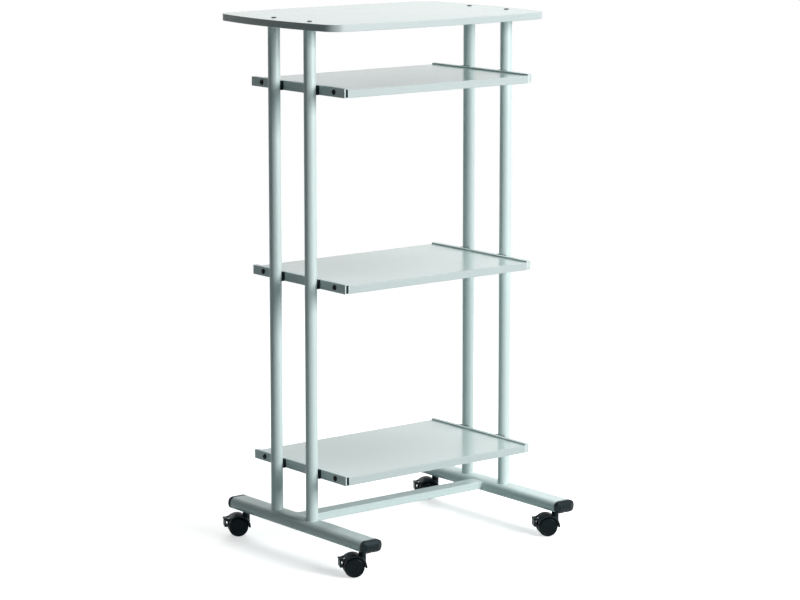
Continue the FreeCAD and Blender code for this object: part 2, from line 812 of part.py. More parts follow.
def caster_wheel(hand):
    """A hollow twin wheel with a rounded shoulder and a dished face."""
    inside = web_thickness / 2 + wheel_side_gap
    outside = wheel_outer_side
    tread = inside + 1.2
    tread_end = tread + wheel_tread_width
    shoulder_run = outside - 0.5 - tread_end
    shoulder_bend = bow_radius(shoulder_run, wheel_shoulder_drop)
    half_turn = math.atan2(shoulder_run, shoulder_bend - wheel_shoulder_drop) / 2

    def at(radius, reach):
        return Vector(caster_trail + radius, hand * reach, wheel_radius)

    rim = wheel_face_radius
    outline = [
        Part.LineSegment(at(0, inside), at(wheel_radius - 0.9, inside)),
        Part.LineSegment(at(wheel_radius - 0.9, inside), at(wheel_radius, tread)),
        Part.LineSegment(at(wheel_radius, tread), at(wheel_radius, tread_end)),
        Part.Arc(
            at(wheel_radius, tread_end),
            at(
                wheel_radius - shoulder_bend * (1 - math.cos(half_turn)),
                tread_end + shoulder_bend * math.sin(half_turn),
            ),
            at(wheel_shoulder_radius, outside - 0.5),
        ),
        Part.LineSegment(at(wheel_shoulder_radius, outside - 0.5), at(rim + 1.2, outside)),
        Part.LineSegment(at(rim + 1.2, outside), at(rim, outside)),
        Part.LineSegment(at(rim, outside), at(rim - 0.8, outside - wheel_face_dish)),
        Part.LineSegment(at(rim - 0.8, outside - wheel_face_dish),
                         at(0, outside - wheel_face_dish)),
        Part.LineSegment(at(0, outside - wheel_face_dish), at(0, inside)),
    ]
    face = Part.Face(Part.Wire([edge.toShape() for edge in outline]))
    wheel = face.revolve(at(0, 0), Y_AXIS, 360)
    cavity_depth = outside - wheel_face_dish - wheel_skin - inside
    start = at(0, inside)
    outward = Y_AXIS * hand
    ring = rod(wheel_radius - wheel_skin, cavity_depth, start, outward).cut(
        rod(wheel_hub_radius, cavity_depth, start, outward)
    )
    bore_depth = axle_half_length() + axle_end_gap - inside
    return wheel.cut(ring).cut(drill(axle_diameter, bore_depth, start, outward))


def axle_half_length():
    return wheel_outer_side - wheel_face_dish - 1.8


def caster_axle():
    half = axle_half_length()
    pin = rod(axle_diameter / 2, 2 * half, Vector(caster_trail, -half, wheel_radius), Y_AXIS)
    return pin.makeChamfer(0.5, [edge for edge in pin.Edges if isinstance(edge.Curve, Part.Circle)])


def caster_stem():
    """Stem fixed in the foot, with a collar and the pin the hood turns on."""
    collar_z = foot_bottom_z - socket_flange_rise - stem_collar_rise
    shank = rod(
        stem_diameter / 2, stem_length, Vector(0, 0, collar_z + stem_collar_rise), Z_AXIS
    )
    collar = rod(stem_collar / 2, stem_collar_rise, Vector(0, 0, collar_z), Z_AXIS)
    pin = rod(stem_pin_diameter / 2, stem_pin_length, Vector(0, 0, collar_z - stem_pin_length), Z_AXIS)
    return fuse(shank, collar, pin)


def caster_socket():
    """Sleeve in the foot that holds the stem."""
    flange_z = foot_bottom_z - socket_flange_rise
    flange = rod(socket_flange / 2, socket_flange_rise, Vector(0, 0, flange_z), Z_AXIS)
    sleeve = rod(socket_diameter / 2, socket_length, Vector(0, 0, foot_bottom_z), Z_AXIS)
    bore = drill(stem_diameter, stem_length + 0.5, Vector(0, 0, flange_z), Z_AXIS)
    return fuse(flange, sleeve).cut(bore)


def placed(shape, x, y, turn=0.0):
    copy = shape.copy()
    copy.Placement = FreeCAD.Placement(Vector(x, y, 0), FreeCAD.Rotation(Z_AXIS, turn))
    return copy


# ---- Build -----------------------------------------------------------------------
def build_top():
    core, band = top_board_and_band()
    save("top_board", core)
    save("top_board_edge_band", band)
    save("top_screws", *[top_screw(x, y) for x, y in post_places()])
    save("top_screw_caps", *[top_cap(x, y) for x, y in post_places()])


def build_posts():
    for side_name, side in sides.items():
        for end_name, end in ends.items():
            save("post_" + end_name + "_" + side_name, post(side * post_x, post_ys[end]))
    upper = [post_plug(x, y, board_bottom_z, -1, top_screw_diameter) for x, y in post_places()]
    lower = [post_plug(x, y, foot_top_z, 1, foot_bolt_diameter) for x, y in post_places()]
    save("post_top_plugs", *upper)
    save("post_foot_plugs", *lower)
    nuts = [
        post_nut(x, y, top - rail_height / 2) for x, y in post_places() for top in rail_tops
    ]
    save("post_rivet_nuts", *nuts)


def build_shelves():
    plugs = {side_name: [] for side_name in sides}
    screws = []
    saddles = []
    bolts = []
    for row, row_name in enumerate(rows):
        save("shelf_" + row_name, shelf(row))
        save("shelf_edge_bands_" + row_name, *[shelf_edge(row, toward) for toward in (-1, 1)])
        for side_name, side in sides.items():
            save("rail_" + row_name + "_" + side_name, rail(row, side))
            plugs[side_name] += [rail_plug(row, side, toward) for toward in (-1, 1)]
            screws += [rail_screw(row, side, y) for y in rail_screw_ys()]
        saddles += [saddle(row, x, y) for x, y in post_places()]
        bolts += [post_bolt(row, x, y) for x, y in post_places()]
    for side_name in sides:
        save("rail_end_plugs_" + side_name, *plugs[side_name])
    save("rail_screws", *screws)
    save("post_saddles", *saddles)
    save("post_bolts", *bolts)


def build_base():
    for side_name, side in sides.items():
        save("foot_" + side_name, foot(side))
        for end_name, end in ends.items():
            save("foot_cap_" + end_name + "_" + side_name, foot_cap(side, end))
    save("foot_bolts", *[foot_bolt(x, y) for x, y in post_places()])
    save("foot_access_plugs", *[access_plug(x, y) for x, y in post_places()])
    save("crossbar", crossbar())


def build_casters():
    hood = caster_hood()
    lever = brake_lever()
    axle = caster_axle()
    stem = caster_stem()
    socket = caster_socket()
    near_wheel = caster_wheel(1)
    far_wheel = caster_wheel(-1)
    stems = []
    sockets = []
    for side_name, side in sides.items():
        for end_name, end in ends.items():
            x = side * post_x
            y = caster_ys[end]
            name = "caster_" + end_name + "_" + side_name
            save(name + "_hood", placed(hood, x, y, caster_turn))
            save(name + "_axle", placed(axle, x, y, caster_turn))
            save(name + "_near_wheel", placed(near_wheel, x, y, caster_turn))
            save(name + "_far_wheel", placed(far_wheel, x, y, caster_turn))
            save(name + "_brake_lever", placed(lever, x, y, caster_turn))
            stems.append(placed(stem, x, y))
            sockets.append(placed(socket, x, y))
    save("caster_stems", *stems)
    save("caster_sockets", *sockets)


def main():
    os.makedirs("parts", exist_ok=True)
    build_top()
    build_posts()
    build_shelves()
    build_base()
    build_casters()


main()
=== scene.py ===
import json
import math

import bmesh
import bpy
from bpy.props import FloatProperty, FloatVectorProperty, PointerProperty
from bpy.types import Operator, Panel, PropertyGroup
from mathutils import Matrix, Vector


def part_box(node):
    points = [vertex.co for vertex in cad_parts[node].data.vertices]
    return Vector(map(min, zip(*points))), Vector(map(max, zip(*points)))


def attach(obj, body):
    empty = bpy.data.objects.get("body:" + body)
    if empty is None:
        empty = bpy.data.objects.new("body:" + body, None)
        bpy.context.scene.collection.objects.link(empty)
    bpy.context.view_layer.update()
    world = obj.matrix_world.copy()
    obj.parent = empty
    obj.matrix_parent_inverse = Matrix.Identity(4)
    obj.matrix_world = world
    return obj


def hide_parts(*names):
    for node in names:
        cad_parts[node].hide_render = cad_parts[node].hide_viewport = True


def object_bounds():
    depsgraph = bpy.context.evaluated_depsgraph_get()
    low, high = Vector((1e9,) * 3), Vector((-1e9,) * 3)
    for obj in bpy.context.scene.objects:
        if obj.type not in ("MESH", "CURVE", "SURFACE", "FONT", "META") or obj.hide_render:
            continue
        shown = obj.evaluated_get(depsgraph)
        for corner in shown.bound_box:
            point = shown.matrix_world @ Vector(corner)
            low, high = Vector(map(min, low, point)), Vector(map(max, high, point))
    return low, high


bl_info = {
    "name": "Mobile Printer Stand Finish",
    "version": (1, 0, 0),
    "blender": (4, 5, 0),
    "location": "View3D > Sidebar > Stand",
    "description": "Finishes and detailed plastic parts for a mobile printer stand",
    "category": "Object",
}

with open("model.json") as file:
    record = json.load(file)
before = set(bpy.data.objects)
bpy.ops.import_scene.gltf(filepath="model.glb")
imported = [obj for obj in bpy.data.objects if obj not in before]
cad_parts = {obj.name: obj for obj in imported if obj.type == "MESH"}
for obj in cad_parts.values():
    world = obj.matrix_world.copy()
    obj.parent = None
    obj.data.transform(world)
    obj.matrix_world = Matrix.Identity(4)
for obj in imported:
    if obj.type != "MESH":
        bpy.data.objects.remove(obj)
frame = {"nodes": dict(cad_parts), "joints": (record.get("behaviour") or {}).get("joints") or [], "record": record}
CAD_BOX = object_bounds()
NODES = frame["nodes"]
JOINTS = {joint["name"]: joint for joint in frame["joints"]}
CORNERS = [end + "_" + side for end in ("front", "back") for side in ("left", "right")]
SIDES = {"left": -1, "right": 1}
MM = 0.001
PLASTIC_TINT = (0.62, 0.9, 1.0, 1.0)
FINISHES = {}


# ---- Shader maths ----------------------------------------------------------------
class Shade:
    """A socket of a shader node, which Python's operators join into Math nodes."""

    def __init__(self, paint, socket):
        self.paint = paint
        self.socket = socket

    def maths(self, operation, *others, swapped=False, clamped=False):
        values = (*others, self) if swapped else (self, *others)
        settings = {"operation": operation, "use_clamp": clamped}
        return self.paint.add("ShaderNodeMath", settings, dict(enumerate(values)))

    def __add__(self, other):
        return self.maths("ADD", other)

    __radd__ = __add__

    def __sub__(self, other):
        return self.maths("SUBTRACT", other)

    def __rsub__(self, other):
        return self.maths("SUBTRACT", other, swapped=True)

    def __mul__(self, other):
        return self.maths("MULTIPLY", other)

    __rmul__ = __mul__

    def __pow__(self, other):
        return self.maths("POWER", other)

    def clamp(self):
        return self.maths("ADD", 0.0, clamped=True)

    def ramp(self, low, high):
        """0 where the value is low or less, 1 where it is high or more."""
        settings = {"interpolation_type": "SMOOTHSTEP"}
        return self.paint.add("ShaderNodeMapRange", settings, {0: self, 1: low, 2: high})


class Paint:
    """The nodes of a material or world, added by type, settings and inputs."""

    def __init__(self, owner, ending="ShaderNodeOutputMaterial"):
        owner.use_nodes = True
        self.owner = owner
        self.ending = ending
        self.tree = owner.node_tree
        self.tree.nodes.clear()
        self.place = self.add("ShaderNodeTexCoord", output="Object")

    def node(self, kind, settings=None, inputs=None):
        node = self.tree.nodes.new(kind)
        for key, value in (settings or {}).items():
            setattr(node, key, value)
        for key, value in (inputs or {}).items():
            if isinstance(value, Shade):
                self.tree.links.new(value.socket, node.inputs[key])
            else:
                node.inputs[key].default_value = value
        return node

    def add(self, kind, settings=None, inputs=None, output=0):
        return Shade(self, self.node(kind, settings, inputs).outputs[output])

    def stretched(self, scale):
        """The place on the piece with each axis scaled, in units per metre."""
        settings = {"operation": "MULTIPLY"}
        return self.add("ShaderNodeVectorMath", settings, {0: self.place, 1: scale})

    def noise(self, scale, detail=2.0, roughness=0.5, place=None):
        inputs = {
            "Vector": place or self.place,
            "Scale": scale,
            "Detail": detail,
            "Roughness": roughness,
        }
        return self.add("ShaderNodeTexNoise", None, inputs)

    def grain(self, scale):
        """Cell distance of a Voronoi pattern, for moulded grain."""
        return self.add("ShaderNodeTexVoronoi", None, {"Vector": self.place, "Scale": scale})

    def colours(self, factor, first, second, mode="MIX"):
        settings = {"data_type": "RGBA", "blend_type": mode}
        return self.add("ShaderNodeMix", settings, {0: factor, 6: first, 7: second}, output=2)

    def edges(self, radius):
        """1 along the piece's edges, falling to 0 on its faces."""
        bent = self.add("ShaderNodeBevel", {"samples": 6}, {"Radius": radius})
        flat = self.add("ShaderNodeNewGeometry", output="Normal")
        settings = {"operation": "DOT_PRODUCT"}
        facing = self.add("ShaderNodeVectorMath", settings, {0: bent, 1: flat}, output="Value")
        return (1 - facing).ramp(0.01, 0.16)

    def bump(self, height, distance, strength=1.0, normal=None):
        inputs = {"Height": height, "Distance": distance, "Strength": strength}
        if normal:
            inputs["Normal"] = normal
        return self.add("ShaderNodeBump", None, inputs)

    def part_of(self, axis):
        """One coordinate of the place on the piece."""
        return self.add("ShaderNodeSeparateXYZ", None, {0: self.place}, output=axis)

    def shown(self):
        """1 for rays that show the background: seen, reflected or through glass."""
        rays = self.add("ShaderNodeLightPath", output="Is Camera Ray")
        for name in ("Is Glossy Ray", "Is Transmission Ray"):
            rays = rays + self.add("ShaderNodeLightPath", output=name)
        return rays.clamp()

    def finish(self, inputs):
        """Ends the material in one Principled shader."""
        return self.end(self.add("ShaderNodeBsdfPrincipled", None, inputs))

    def end(self, surface):
        self.node(self.ending, None, {"Surface": surface})
        return self.owner


def tinted(colour, factor):
    """The colour, lighter or darker by a factor, as RGBA."""
    return (*[min(1.0, part * factor) for part in colour], 1.0)


# ---- Finishes --------------------------------------------------------------------
def silver_steel(colours):
    """Silver powder coat: fine orange peel, faint metal flake with its sparkle painted in as lighter specks
    (painted glint), edges rubbed brighter.
    """
    paint = Paint(bpy.data.materials.new("silver_powder_coat"))
    cloud = paint.noise(3.0, 3.0)
    flake_and_glint = paint.noise(2600.0, 1.0)
    peel = paint.noise(700.0, 2.0)
    handled = paint.noise(16.0, 4.0, 0.6).ramp(0.45, 0.75)
    rubbed = paint.edges(0.8 * MM) * paint.noise(90.0, 4.0, 0.7).ramp(0.38, 0.62)
    base = colours.silver_coat
    tone = paint.colours(cloud, tinted(base, 0.965), tinted(base, 1.03))
    # Lighter specks: the metal flake, whose sparkle is painted into the colour as a painted glint.
    tone = paint.colours(flake_and_glint.ramp(0.52, 0.72) * 0.35, tone, tinted(base, 1.16))
    tone = paint.colours(rubbed * 0.5, tone, tinted(base, 1.25))
    return paint.finish({
        "Base Color": tone,
        "Metallic": 0.03,
        "Roughness": 0.36 + handled * 0.07 + flake_and_glint * 0.08 - rubbed * 0.1,
        "Normal": paint.bump(peel * 0.7 + flake_and_glint * 0.3, 0.03 * MM, 0.55),
    })


def grey_laminate(colours):
    """Melamine board face: pearl texture, faint wiping marks and fine scratches."""
    paint = Paint(bpy.data.materials.new("grey_laminate"))
    cloud = paint.noise(2.2, 3.0)
    pearl = paint.grain(620.0)
    fine = paint.noise(1900.0, 2.0)
    wiped = paint.noise(7.0, 4.0, 0.6).ramp(0.35, 0.75)
    scratch_place = paint.stretched((14.0, 900.0, 900.0))
    scratches = paint.noise(1.0, 2.0, 0.5, scratch_place).ramp(0.7, 0.78)
    base = colours.laminate
    tone = paint.colours(cloud, tinted(base, 0.98), tinted(base, 1.015))
    tone = paint.colours(fine.ramp(0.4, 0.7) * 0.25, tone, tinted(base, 0.93))
    tone = paint.colours(scratches * 0.12, tone, tinted(base, 1.12))
    return paint.finish({
        "Base Color": tone,
        "Roughness": 0.19 + wiped * 0.02 + pearl * 0.06 - scratches * 0.03,
        "Coat Weight": 0.3,
        "Coat Roughness": 0.14,
        "Normal": paint.bump(pearl * 0.6 + fine * 0.25 - scratches * 0.4, 0.02 * MM, 0.5),
    })


def edge_band(colours):
    """Edge banding: fine trimming lines along the board and a softened corner."""
    paint = Paint(bpy.data.materials.new("edge_band"))
    cloud = paint.noise(9.0, 2.0)
    lines = paint.noise(1.0, 3.0, 0.6, paint.stretched((24.0, 24.0, 1500.0)))
    fine = paint.noise(1700.0, 2.0)
    rubbed = paint.edges(1.2 * MM) * paint.noise(60.0, 4.0, 0.7).ramp(0.4, 0.65)
    base = colours.edge_band
    tone = paint.colours(cloud, tinted(base, 0.97), tinted(base, 1.03))
    tone = paint.colours(lines.ramp(0.35, 0.7) * 0.2, tone, tinted(base, 0.9))
    tone = paint.colours(rubbed * 0.35, tone, tinted(base, 1.14))
    return paint.finish({
        "Base Color": tone,
        "Roughness": 0.33 + lines * 0.12 + fine * 0.05,
        "Normal": paint.bump(lines * 0.6 + fine * 0.4, 0.02 * MM, 0.5),
    })


def moulded_plastic(name, base, roughness, grain_scale, worn):
    """Moulded plastic: spark grain, flow marks, dust and paler scuffs on its edges."""
    paint = Paint(bpy.data.materials.new(name))
    flow = paint.noise(70.0, 3.0)
    grain = paint.grain(grain_scale)
    fine = paint.noise(3200.0, 2.0)
    rubbed = paint.edges(0.7 * MM) * paint.noise(260.0, 4.0, 0.7).ramp(0.35, 0.65)
    dust = paint.noise(420.0, 5.0, 0.7).ramp(0.56, 0.74)
    tone = paint.colours(flow, tinted(base, 0.85), tinted(base, 1.15))
    tone = paint.colours(dust * 0.1, tone, tinted(worn, 0.8))
    tone = paint.colours(rubbed * 0.45, tone, tinted(worn, 1.0))
    return paint.finish({
        "Base Color": tone,
        "Roughness": roughness + grain * 0.1 + dust * 0.08 - rubbed * 0.06,
        "Specular IOR Level": 0.2,
        "Specular Tint": PLASTIC_TINT,
        "Normal": paint.bump(grain * 0.7 + fine * 0.3, 0.04 * MM, 0.5),
    })


def wheel_plastic(colours, radius):
    """Nylon wheel: smooth disc with turning marks, tread scuffed and dusty."""
    paint = Paint(bpy.data.materials.new("black_nylon"))
    across = paint.part_of("X")
    upward = paint.part_of("Z")
    spread = (across * across + upward * upward) ** 0.5
    tread = (spread * (1 / radius)).ramp(0.955, 0.99)
    rings = paint.add(
        "ShaderNodeTexWave",
        {"wave_type": "RINGS", "rings_direction": "Y"},
        {"Vector": paint.place, "Scale": 700.0, "Distortion": 0.6, "Detail": 2.0},
    )
    scuffs = paint.noise(300.0, 5.0, 0.75).ramp(0.42, 0.66)
    fine = paint.noise(2600.0, 2.0)
    flow = paint.noise(60.0, 3.0)
    rubbed = paint.edges(0.7 * MM) * scuffs
    base = colours.black_plastic
    tone = paint.colours(flow, tinted(base, 0.85), tinted(base, 1.2))
    tone = paint.colours(tread * scuffs * 0.28, tone, tinted(colours.floor_dust, 1.0))
    tone = paint.colours(rubbed * 0.3, tone, tinted(colours.worn_plastic, 1.0))
    return paint.finish({
        "Base Color": tone,
        "Roughness": 0.24 + tread * 0.2 + scuffs * 0.06 + fine * 0.05,
        "Specular IOR Level": 0.12,
        "Specular Tint": PLASTIC_TINT,
        "Normal": paint.bump(rings * 0.25 + fine * 0.25 + scuffs * tread, 0.03 * MM, 0.45),
    })


def turned_steel(name, base, metallic, roughness, gloss):
    """Steel fastener: fine turning marks and handling marks under a thin finish."""
    paint = Paint(bpy.data.materials.new(name))
    marks = paint.noise(1.0, 3.0, 0.6, paint.stretched((300.0, 300.0, 2600.0)))
    patches = paint.noise(180.0, 4.0, 0.6).ramp(0.4, 0.7)
    rubbed = paint.edges(0.4 * MM) * paint.noise(500.0, 3.0, 0.6).ramp(0.4, 0.6)
    tone = paint.colours(patches, tinted(base, 0.88), tinted(base, 1.08))
    tone = paint.colours(rubbed * 0.4, tone, tinted(base, 1.6))
    return paint.finish({
        "Base Color": tone,
        "Metallic": metallic,
        "Specular IOR Level": gloss,
        "Roughness": roughness + marks * 0.12 + patches * 0.06 - rubbed * 0.08,
        "Normal": paint.bump(marks, 0.02 * MM, 0.4),
    })


def finishes(colours):
    """Every finish by the record's slot name."""
    black = colours.black_plastic
    grey = colours.grey_plastic
    worn_grey = tinted(grey, 1.3)[:3]
    return {
        "silver_steel": silver_steel(colours),
        "grey_laminate": grey_laminate(colours),
        "edge_band": edge_band(colours),
        "black_plastic": moulded_plastic(
            "black_moulding", black, 0.36, 1100.0, colours.worn_plastic
        ),
        "grey_plastic": moulded_plastic("grey_moulding", grey, 0.42, 1300.0, worn_grey),
        "wheel_plastic": wheel_plastic(colours, wheel_radius()),
        "black_steel": turned_steel("black_screw_finish", colours.black_steel, 0.0, 0.34, 0.1),
        "zinc_steel": turned_steel("zinc_plate", colours.zinc, 0.95, 0.28, 0.5),
    }


# ---- Mesh helpers ----------------------------------------------------------------
def arc(centre, radius, start, end, steps):
    """Points along an arc in a plane; angles are in degrees."""
    points = []
    for step in range(steps + 1):
        angle = math.radians(start + (end - start) * step / steps)
        points.append((centre[0] + radius * math.cos(angle), centre[1] + radius * math.sin(angle)))
    return points


def skin(name, loops):
    """A closed mesh through rings of points, the first and last ring filled in."""
    count = len(loops[0])
    made = bmesh.new()
    rings = [[made.verts.new(point) for point in loop] for loop in loops]
    for lower, upper in zip(rings, rings[1:]):
        for here in range(count):
            after = (here + 1) % count
            made.faces.new((lower[here], lower[after], upper[after], upper[here]))
    made.faces.new(rings[0][::-1])
    made.faces.new(rings[-1])
    return mesh_from(name, made)


def mesh_from(name, made):
    """The finished mesh: doubles merged and every face turned outwards."""
    bmesh.ops.remove_doubles(made, verts=made.verts, dist=1e-6)
    bmesh.ops.recalc_face_normals(made, faces=made.faces)
    mesh = bpy.data.meshes.new(name)
    made.to_mesh(mesh)
    made.free()
    return mesh


def lathe(name, profile, segments):
    """Turns (reach, radius) points round the Y axis."""
    loops = []
    for reach, radius in profile:
        turns = [2 * math.pi * step / segments for step in range(segments)]
        loops.append([(radius * math.cos(a), reach, radius * math.sin(a)) for a in turns])
    return skin(name, loops)


def extruded(name, outline, low, high):
    """A plate across Y from an (x, z) outline."""
    return skin(name, [[(x, y, z) for x, z in outline] for y in (low, high)])


def rounded_outline(points, radius, steps=4):
    """A closed outline with every corner rounded, by no more than its sides allow."""
    rounded = []
    for before, here, after in zip(points[-1:] + points[:-1], points, points[1:] + points[:1]):
        here = Vector(here)
        back = Vector(before) - here
        on = Vector(after) - here
        reach = min(radius, back.length * 0.45, on.length * 0.45)
        start = here + back.normalized() * reach
        end = here + on.normalized() * reach
        for step in range(steps + 1):
            t = step / steps
            rounded.append(tuple(start * (1 - t) ** 2 + here * (2 * t * (1 - t)) + end * t ** 2))
    return rounded


def flat_oval(width, height, straight, round_side):
    """(x, z) points of an oval with flat top and bottom, from the right side's foot."""
    radius = height / 2
    half = width / 2 - radius
    points = arc((half, 0.0), radius, -90.0, 90.0, round_side)[:-1]
    points += [(half - 2 * half * step / straight, radius) for step in range(straight)]
    points += arc((-half, 0.0), radius, 90.0, 270.0, round_side)[:-1]
    points += [(-half + 2 * half * step / straight, -radius) for step in range(straight)]
    return points


def divided(points, pitch):
    """A closed outline whose long sides have points about a pitch apart."""
    finer = []
    for here, after in zip(points, points[1:] + points[:1]):
        steps = max(1, round(math.dist(here, after) / pitch))
        for step in range(steps):
            share = step / steps
            finer.append(tuple(a + (b - a) * share for a, b in zip(here, after)))
    return finer


def joined(name, meshes):
    """Several meshes in one."""
    made = bmesh.new()
    for mesh in meshes:
        made.from_mesh(mesh)
        bpy.data.meshes.remove(mesh)
    return mesh_from(name, made)


def changed(mesh, *modifiers):
    """The mesh after a stack of modifiers, each a type and its settings."""
    piece = bpy.data.objects.new("work", mesh)
    bpy.context.scene.collection.objects.link(piece)
    for kind, settings in modifiers:
        modifier = piece.modifiers.new(kind.lower(), kind)
        for key, value in settings.items():
            setattr(modifier, key, value)
    bpy.context.view_layer.update()
    view = bpy.context.evaluated_depsgraph_get()
    result = bpy.data.meshes.new_from_object(piece.evaluated_get(view))
    result.name = mesh.name
    bpy.data.objects.remove(piece)
    return result


def melted(mesh, voxel, smoothing, faces):
    """Overlapping closed shapes made one, with soft moulded edges."""
    whole = changed(
        mesh,
        ("REMESH", {"mode": "VOXEL", "voxel_size": voxel}),
        ("SMOOTH", {"factor": 0.5, "iterations": smoothing}),
    )
    ratio = min(1.0, faces / (2 * len(whole.polygons)))
    return changed(whole, ("DECIMATE", {"ratio": ratio}))


def cut(mesh, tool):
    """The mesh less another."""
    cutter = bpy.data.objects.new("cutter", tool)
    bpy.context.scene.collection.objects.link(cutter)
    result = changed(mesh, ("BOOLEAN", {"object": cutter, "solver": "EXACT"}))
    bpy.data.objects.remove(cutter)
    return result


def soften(mesh, angle=32.0):
    """Smooth shading that keeps the edges sharper than an angle."""
    made = bmesh.new()
    made.from_mesh(mesh)
    limit = math.radians(angle)
    for face in made.faces:
        face.smooth = True
    for edge in made.edges:
        edge.smooth = edge.calc_face_angle(0.0) < limit
    made.to_mesh(mesh)
    made.free()
    return mesh


def rod(name, radius, low, high, centre, segments=48):
    """A cylinder along Y at an (x, z) centre."""
    turns = arc(centre, radius, 0.0, 360.0, segments)[:-1]
    return extruded(name, turns, low, high)


# ---- Places on the stand ---------------------------------------------------------
def wheel_radius():
    low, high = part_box("caster_front_left_near_wheel")
    return (high.z - low.z) / 2


def caster_place(corner):
    """Turns a caster drawn round its swivel, trailing along +X, into its place."""
    swivel = Vector(JOINTS["caster_" + corner + "_swivel"]["pos_m"])
    axle = Vector(JOINTS["caster_" + corner + "_near_wheel_spin"]["pos_m"])
    turn = math.atan2(axle.y - swivel.y, axle.x - swivel.x)
    return Matrix.Translation((swivel.x, swivel.y, 0.0)) @ Matrix.Rotation(turn, 4, "Z")


def caster_measures():
    """Trail, neck top, lever pivot and axle height of a caster, in its own plane."""
    joint = JOINTS["caster_front_left_swivel"]
    swivel = Vector(joint["pos_m"])
    axle = Vector(JOINTS["caster_front_left_near_wheel_spin"]["pos_m"])
    pivot = Vector(JOINTS["caster_front_left_brake_press"]["pos_m"])
    trail = (axle - swivel).to_2d().length
    return trail, swivel.z, (pivot - swivel).to_2d().length, pivot.z, axle.z


def add_piece(name, mesh, place, body, slot, *nodes):
    """Puts a mesh in place, riding on a body and standing for CAD nodes."""
    piece = bpy.data.objects.new(name, mesh)
    bpy.context.scene.collection.objects.link(piece)
    piece.matrix_world = place
    if not mesh.materials:
        mesh.materials.append(FINISHES[slot])
    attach(piece, body)
    if nodes:
        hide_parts(*nodes)
    return piece


def slots_by_node():
    return {part["node"]: part["material_slot"] for part in frame["record"]["subparts"]}


# ---- Caster parts ----------------------------------------------------------------
def wheel_mesh(sizes, radius):
    """One wheel in its axle's frame, its outer face towards +Y."""
    inside = sizes.web_thickness / 2 + sizes.wheel_gap
    outside = sizes.wheel_reach
    face = outside - sizes.face_dish
    rim = sizes.face_radius
    lip = sizes.lip_round
    skin_in = radius - sizes.wheel_skin
    hub = sizes.hub_radius
    bore = sizes.axle_radius
    floor = face - sizes.wheel_skin
    shoulder = sizes.shoulder_radius
    profile = [
        (face - 1.6 * MM, 0.0),
        (face - 1.6 * MM, bore),
        (inside, bore),
        (inside, hub - lip),
        (inside + lip, hub),
        (floor, hub + 0.6 * MM),
        (floor, skin_in - 0.6 * MM),
        (inside + lip, skin_in),
        (inside, skin_in + lip),
        (inside, radius - 1.3 * MM),
        (inside + 0.5 * MM, radius - 0.5 * MM),
        (inside + 1.3 * MM, radius),
    ]
    start = outside - 0.6 * MM - shoulder
    profile += [
        (start + shoulder * math.sin(a), radius - shoulder + shoulder * math.cos(a))
        for a in [math.radians(step) for step in range(0, 64, 7)]
    ]
    profile += [
        (outside - 0.25 * MM, rim + 1.7 * MM),
        (outside, rim + 1.1 * MM),
        (outside, rim + lip),
        (outside - lip * 0.4, rim),
        (face + 0.15 * MM, rim - 0.35 * MM),
        (face, rim - 0.8 * MM),
        (face - 0.1 * MM, rim * 0.75),
        (face - 0.15 * MM, rim * 0.4),
        (face - 0.15 * MM, 0.0),
    ]
    return soften(lathe("caster_wheel", profile, 112), 40.0)


def polar(trail, axle_z, radius, angle):
    """(x, z) of a point round the axle; 0 is straight ahead, a quarter turn is up."""
    return trail - radius * math.cos(angle), axle_z + radius * math.sin(angle)


def fender_mesh(sizes, trail, axle_z):
    """The mudguard: a crowned section swept round the axle."""
    half = sizes.fender_half_width
    inner = sizes.fender_inner
    edge = sizes.fender_edge
    crown = sizes.fender_crown
    steps = 12
    sweep = 60
    section = [(half - 2 * half * step / steps, inner) for step in range(steps + 1)]
    section += [
        (-half + 2 * half * step / steps, edge + (crown - edge) * math.sin(math.pi * step / steps))
        for step in range(steps + 1)
    ]
    loops = []
    for step in range(sweep + 1):
        angle = sizes.fender_front + (sizes.fender_back - sizes.fender_front) * step / sweep
        loop = []
        for across, radius in section:
            x, z = polar(trail, axle_z, radius, angle)
            loop.append((x, across, z))
        loops.append(loop)
    return skin("fender", loops)


def web_mesh(sizes, trail, axle_z):
    """The plate between the wheels, from the axle out to the mudguard."""
    half = sizes.web_thickness / 2
    steps = 24
    outline = [(trail, axle_z)]
    for step in range(steps + 1):
        angle = sizes.web_front + (sizes.web_back - sizes.web_front) * step / steps
        outline.append(polar(trail, axle_z, sizes.fender_inner + 1.2 * MM, angle))
    plate = extruded("web", outline, -half, half)
    boss = rod("boss", sizes.boss_radius, -half, half, (trail, axle_z))
    return [plate, boss]


def neck_mesh(sizes, trail, axle_z, top):
    """The swivel neck with its lip, cut clear of the wheels."""
    radius = sizes.neck_radius
    lip = 0.9 * MM
    base = axle_z + sizes.boss_radius
    profile = [
        (base, 0.0),
        (base, radius),
        (top - 6.2 * MM, radius),
        (top - 5.2 * MM, radius - 0.35 * MM),
        (top - 4.2 * MM, radius),
        (top - lip, radius),
        (top, radius - lip),
        (top, 0.0),
    ]
    upright = lathe("neck", profile, 64)
    upright.transform(Matrix.Rotation(math.radians(90), 4, "X"))
    clear = rod(
        "clear", sizes.fender_inner, -sizes.fender_half_width, sizes.fender_half_width,
        (trail, axle_z), 96,
    )
    return cut(upright, clear)


def ear_mesh(sizes, trail, axle_z, pivot, hand):
    """An ear that holds one end of the brake lever's pin."""
    pivot_x, pivot_z = pivot
    angle = math.degrees(math.atan2(pivot_z - axle_z, trail - pivot_x))
    back = sizes.fender_back
    outline = [polar(trail, axle_z, sizes.fender_edge - 0.5 * MM, back - sizes.ear_root)]
    outline += arc(pivot, sizes.ear_radius, 180 - angle, -angle, 14)
    outline.append(polar(trail, axle_z, sizes.fender_inner + 0.5 * MM, back - math.radians(1.0)))
    inner = sizes.lever_half_width + sizes.ear_gap
    reach = sorted((hand * inner, hand * (inner + sizes.ear_thickness)))
    return extruded("ear", outline, *reach)


